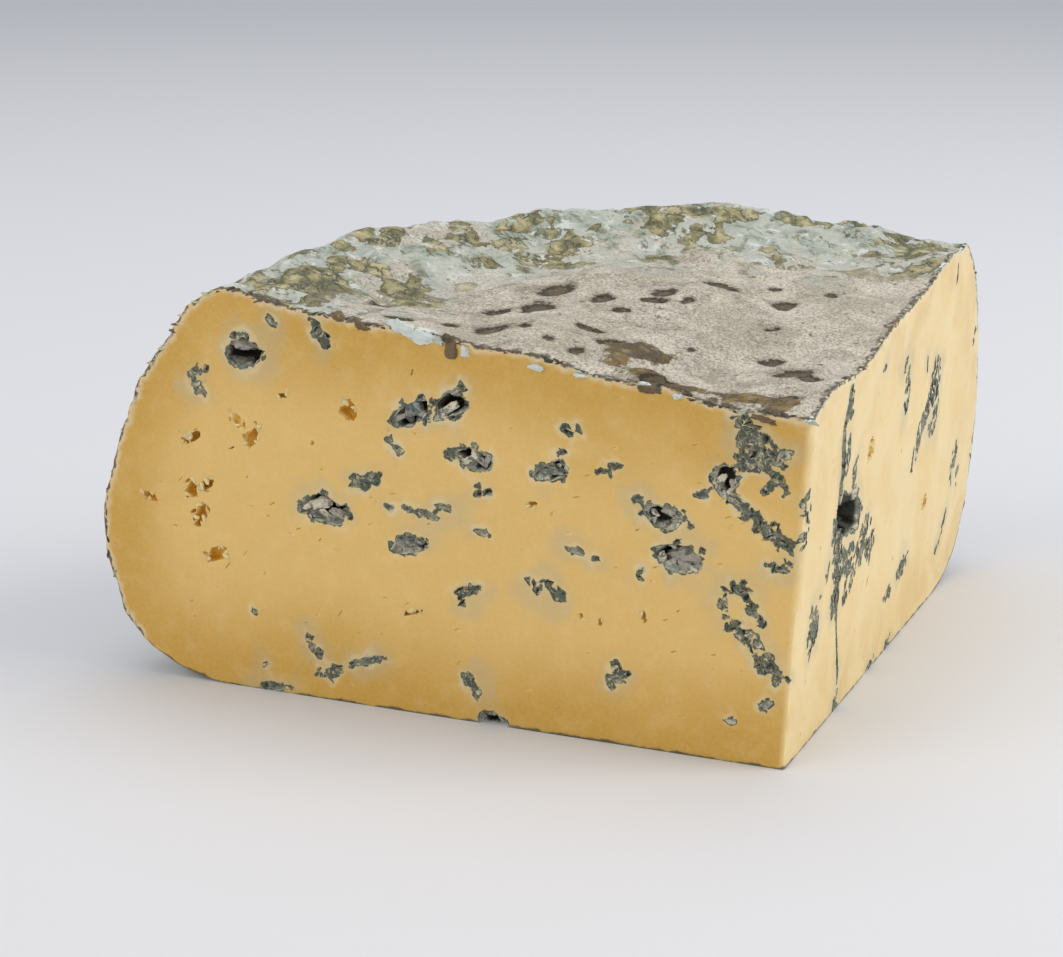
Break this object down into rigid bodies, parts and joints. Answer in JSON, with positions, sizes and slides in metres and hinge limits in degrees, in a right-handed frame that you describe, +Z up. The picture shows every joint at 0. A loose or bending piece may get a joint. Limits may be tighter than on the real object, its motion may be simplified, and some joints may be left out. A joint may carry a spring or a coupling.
{
  "type": "blue cheese quarter",
  "caption": "Quarter of a soft blue cheese wheel with a mottled natural rind, two flat cut faces and mould-lined hollows in the paste.",
  "frame": {"origin": "centre of the bounding box at the level of the underside", "axes": "+Z up, the front cut faces -Y, the right cut faces +X, the round rim faces -X and +Y"},
  "size_m": [0.0922, 0.0902, 0.0542],
  "materials": {
    "cheese": "soft golden paste, slightly moist, with a dry powdery rind"
  },
  "bodies": {
    "root": {"cheese": "cheese"}
  },
  "joints": []
}
